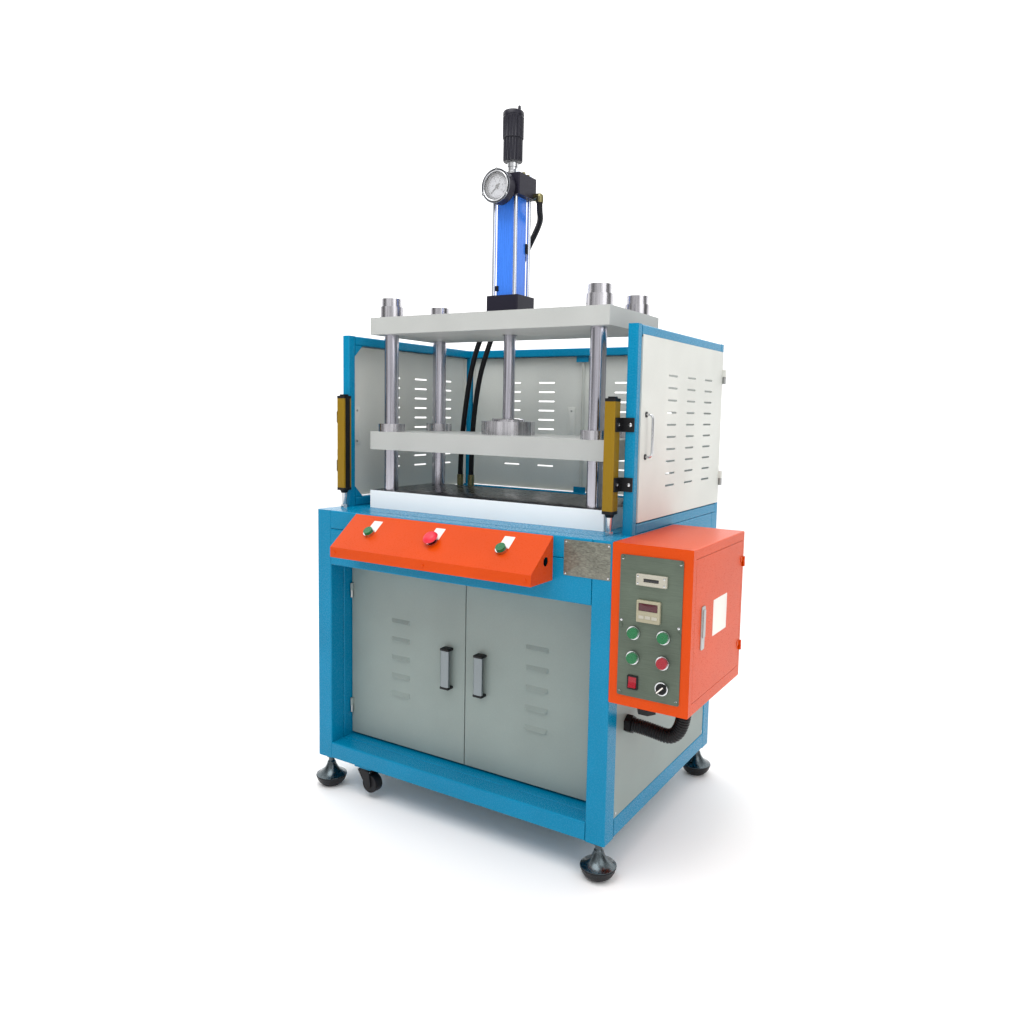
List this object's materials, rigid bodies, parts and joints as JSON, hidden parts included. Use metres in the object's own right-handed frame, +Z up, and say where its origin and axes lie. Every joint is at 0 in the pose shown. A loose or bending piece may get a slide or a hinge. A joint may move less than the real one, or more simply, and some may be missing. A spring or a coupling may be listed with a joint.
{
  "type": "thermoforming press",
  "caption": "Four-column booster press on a floor cabinet, with a slotted guard, light curtains, a two-hand console and a side control box",
  "frame": {"origin": "on the floor, in the middle of the machine's footprint", "axes": "+Z up, the operator's side and console toward -Y, the control box on the +X side"},
  "size_m": [1.1126, 0.819, 1.863],
  "materials": {
    "frame_blue": "semi-gloss enamel",
    "guard_grey": "satin enamel",
    "platen_grey": "satin enamel",
    "orange": "gloss powder coat",
    "ground_steel": "ground",
    "bright_steel": "polished",
    "zinc": "zinc plated",
    "cylinder_blue": "blue anodised",
    "black_metal": "black anodised",
    "black_plastic": "fine grain",
    "curtain_yellow": "satin",
    "plate_metal": "brushed",
    "ivory_plastic": "moulded",
    "beige_plastic": "moulded",
    "green_plastic": "moulded",
    "red_plastic": "moulded",
    "brass": "turned",
    "hose_rubber": "smooth",
    "wheel_rubber": "solid tread"
  },
  "bodies": {
    "machine": {"base_frame": "frame_blue", "deck_plate": "frame_blue", "cabinet_panels": "guard_grey", "guard_frame": "frame_blue", "light_curtains": "curtain_yellow", "curtain_brackets": "black_plastic", "curtain_plugs": "bright_steel", "lower_platen": "platen_grey", "columns": "bright_steel", "column_nuts": "ground_steel", "top_plate": "platen_grey", "cylinder_end_blocks": "black_metal", "cylinder_tube": "cylinder_blue", "tie_rods": "bright_steel", "stroke_booster": "black_metal", "pressure_gauge": "bright_steel", "air_fittings": "brass", "left_air_hose": "hose_rubber", "right_air_hose": "hose_rubber", "console_shell": "orange", "box_shell": "orange", "control_plate": "plate_metal", "digital_counter": "ivory_plastic", "temperature_display": "beige_plastic", "button_bezels": "bright_steel", "switch_bodies": "black_plastic", "conduit": "black_plastic", "conduit_glands": "black_plastic", "hinge_pins": "zinc", "levelling_feet": "bright_steel"},
    "press_platen": {"moving_platen": "platen_grey", "guide_bushings": "ground_steel", "rod_flange": "ground_steel", "piston_rod": "bright_steel"},
    "right_cabinet_leaf": {"right_cabinet_door": "guard_grey", "right_cabinet_handle": "bright_steel"},
    "left_cabinet_leaf": {"left_cabinet_door": "guard_grey", "left_cabinet_handle": "bright_steel"},
    "right_guard_leaf": {"right_guard_door": "guard_grey", "right_guard_handle": "bright_steel"},
    "left_guard_leaf": {"left_guard_door": "guard_grey", "left_guard_handle": "bright_steel"},
    "rear_right_leaf": {"rear_right_door": "guard_grey"},
    "rear_left_leaf": {"rear_left_door": "guard_grey"},
    "box_leaf": {"box_door": "orange"},
    "lock_lever": {"box_lock": "zinc"},
    "left_start": {"left_start_button": "green_plastic"},
    "right_start": {"right_start_button": "green_plastic"},
    "stop": {"stop_button": "red_plastic"},
    "heater": {"heater_button": "green_plastic"},
    "jog": {"jog_button": "green_plastic"},
    "cycle": {"cycle_button": "green_plastic"},
    "reset": {"reset_button": "red_plastic"},
    "rocker": {"rocker_switch": "red_plastic"},
    "selector": {"selector_knob": "black_plastic"},
    "needle": {"gauge_needle": "black_plastic"},
    "front_fork": {"front_caster_fork": "zinc"},
    "rear_fork": {"rear_caster_fork": "zinc"},
    "front_wheel": {"front_caster_wheel": "wheel_rubber"},
    "rear_wheel": {"rear_caster_wheel": "wheel_rubber"}
  },
  "joints": [
    {"name": "platen_slide", "type": "slide", "parent": "machine", "child": "press_platen", "axis": [0, 0, 1], "range_m": [-0.11, 0.09]},
    {"name": "right_cabinet_hinge", "type": "hinge", "parent": "machine", "child": "right_cabinet_leaf", "pos_m": [0.3102, -0.2375, 0.389], "axis": [0, 0, 1], "range_deg": [0, 90]},
    {"name": "left_cabinet_hinge", "type": "hinge", "parent": "machine", "child": "left_cabinet_leaf", "pos_m": [-0.4788, -0.2375, 0.389], "axis": [0, 0, -1], "range_deg": [0, 90]},
    {"name": "right_guard_hinge", "type": "hinge", "parent": "machine", "child": "right_guard_leaf", "pos_m": [0.3722, 0.3805, 1.03], "axis": [0, 0, 1], "range_deg": [0, 100]},
    {"name": "left_guard_hinge", "type": "hinge", "parent": "machine", "child": "left_guard_leaf", "pos_m": [-0.5408, 0.3805, 1.03], "axis": [0, 0, -1], "range_deg": [0, 100]},
    {"name": "rear_right_hinge", "type": "hinge", "parent": "machine", "child": "rear_right_leaf", "pos_m": [0.3537, 0.394, 1.03], "axis": [0, 0, -1], "range_deg": [0, 100]},
    {"name": "rear_left_hinge", "type": "hinge", "parent": "machine", "child": "rear_left_leaf", "pos_m": [-0.5223, 0.394, 1.03], "axis": [0, 0, 1], "range_deg": [0, 100]},
    {"name": "box_door_hinge", "type": "hinge", "parent": "machine", "child": "box_leaf", "pos_m": [0.5535, 0.0325, 0.613], "axis": [0, 0, 1], "range_deg": [0, 110]},
    {"name": "lock_lever_hinge", "type": "hinge", "parent": "box_leaf", "child": "lock_lever", "pos_m": [0.5533, -0.2435, 0.5915], "axis": [0, 1, 0], "range_deg": [0, 50]},
    {"name": "left_start_push", "type": "slide", "parent": "machine", "child": "left_start", "axis": [0, 0.6247, -0.7809], "range_m": [0, 0.005], "stiffness_N_per_m": 500, "springref_m": -0.003},
    {"name": "right_start_push", "type": "slide", "parent": "machine", "child": "right_start", "axis": [0, 0.6247, -0.7809], "range_m": [0, 0.005], "stiffness_N_per_m": 500, "springref_m": -0.003},
    {"name": "stop_push", "type": "slide", "parent": "machine", "child": "stop", "axis": [0, 0.6247, -0.7809], "range_m": [0, 0.005], "stiffness_N_per_m": 700, "springref_m": -0.003},
    {"name": "heater_push", "type": "slide", "parent": "machine", "child": "heater", "axis": [0, 1, 0], "range_m": [0, 0.005], "stiffness_N_per_m": 500, "springref_m": -0.003},
    {"name": "jog_push", "type": "slide", "parent": "machine", "child": "jog", "axis": [0, 1, 0], "range_m": [0, 0.005], "stiffness_N_per_m": 500, "springref_m": -0.003},
    {"name": "cycle_push", "type": "slide", "parent": "machine", "child": "cycle", "axis": [0, 1, 0], "range_m": [0, 0.005], "stiffness_N_per_m": 500, "springref_m": -0.003},
    {"name": "reset_push", "type": "slide", "parent": "machine", "child": "reset", "axis": [0, 1, 0], "range_m": [0, 0.005], "stiffness_N_per_m": 500, "springref_m": -0.003},
    {"name": "rocker_tilt", "type": "hinge", "parent": "machine", "child": "rocker", "pos_m": [0.4239, -0.3145, 0.487], "axis": [1, 0, 0], "range_deg": [0, 16]},
    {"name": "selector_turn", "type": "hinge", "parent": "machine", "child": "selector", "pos_m": [0.4929, -0.3145, 0.487], "axis": [0, -1, 0], "range_deg": [0, 90]},
    {"name": "needle_turn", "type": "hinge", "parent": "machine", "child": "needle", "pos_m": [-0.0843, -0.12, 1.6435], "axis": [0, 1, 0], "range_deg": [0, 260]},
    {"name": "front_caster_swivel", "type": "hinge", "parent": "machine", "child": "front_fork", "pos_m": [-0.3723, -0.2875, 0.08], "axis": [0, 0, 1], "continuous": true},
    {"name": "rear_caster_swivel", "type": "hinge", "parent": "machine", "child": "rear_fork", "pos_m": [-0.3723, 0.3625, 0.08], "axis": [0, 0, 1], "continuous": true},
    {"name": "front_caster_roll", "type": "hinge", "parent": "front_fork", "child": "front_wheel", "pos_m": [-0.3543, -0.2875, 0.043], "axis": [0, 1, 0], "continuous": true},
    {"name": "rear_caster_roll", "type": "hinge", "parent": "rear_fork", "child": "rear_wheel", "pos_m": [-0.3543, 0.3625, 0.043], "axis": [0, 1, 0], "continuous": true}
  ]
}
